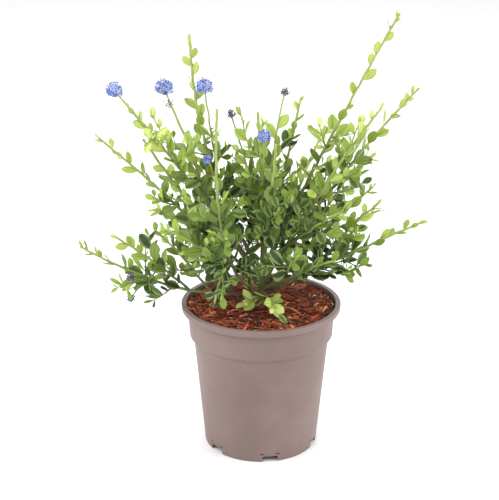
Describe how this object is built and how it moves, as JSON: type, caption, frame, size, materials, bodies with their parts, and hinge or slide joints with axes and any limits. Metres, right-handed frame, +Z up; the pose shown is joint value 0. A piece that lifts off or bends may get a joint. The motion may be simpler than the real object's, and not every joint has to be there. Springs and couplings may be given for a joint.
{
  "type": "potted california lilac shrub",
  "caption": "Young California lilac shrub in a round nursery pot: thin branching stems with small glossy leaves, a few domed blue flower heads, and a bark mulch surface.",
  "frame": {"origin": "centre of the pot's flat underside, where it stands on the ground", "axes": "+Z up along the pot and the trunk, +X to the right and -Y to the front as the picture sees the plant"},
  "size_m": [0.369, 0.2577, 0.4612],
  "materials": {
    "pot": "matte taupe plastic, lightly scuffed",
    "mulch": "shredded reddish-brown bark over potting mix",
    "bark": "young green-brown bark",
    "foliage": "small glossy leaves, with domed lilac-blue blossom at some tips"
  },
  "bodies": {
    "root": {"pot": "pot", "mulch": "mulch", "trunk": "bark", "limb_tall_right": "bark", "limb_right": "bark", "limb_right_front": "bark", "limb_right_low": "bark", "limb_right_back": "bark", "limb_upright_left": "bark", "limb_left_high": "bark", "limb_left": "bark", "limb_left_low": "bark", "limb_front_left": "bark", "limb_front": "bark", "limb_front_right": "bark", "limb_back_left": "bark", "limb_back": "bark", "limb_back_right": "bark", "limb_front_low": "bark", "foliage_tall_right": "foliage", "foliage_right": "foliage", "foliage_right_front": "foliage", "foliage_right_low": "foliage", "foliage_right_back": "foliage", "foliage_centre": "foliage", "foliage_upright_left": "foliage", "foliage_left_high": "foliage", "foliage_left": "foliage", "foliage_left_low": "foliage", "foliage_front_left": "foliage", "foliage_front": "foliage", "foliage_front_right": "foliage", "foliage_back_left": "foliage", "foliage_back": "foliage", "foliage_back_right": "foliage", "foliage_front_low": "foliage"}
  },
  "joints": []
}
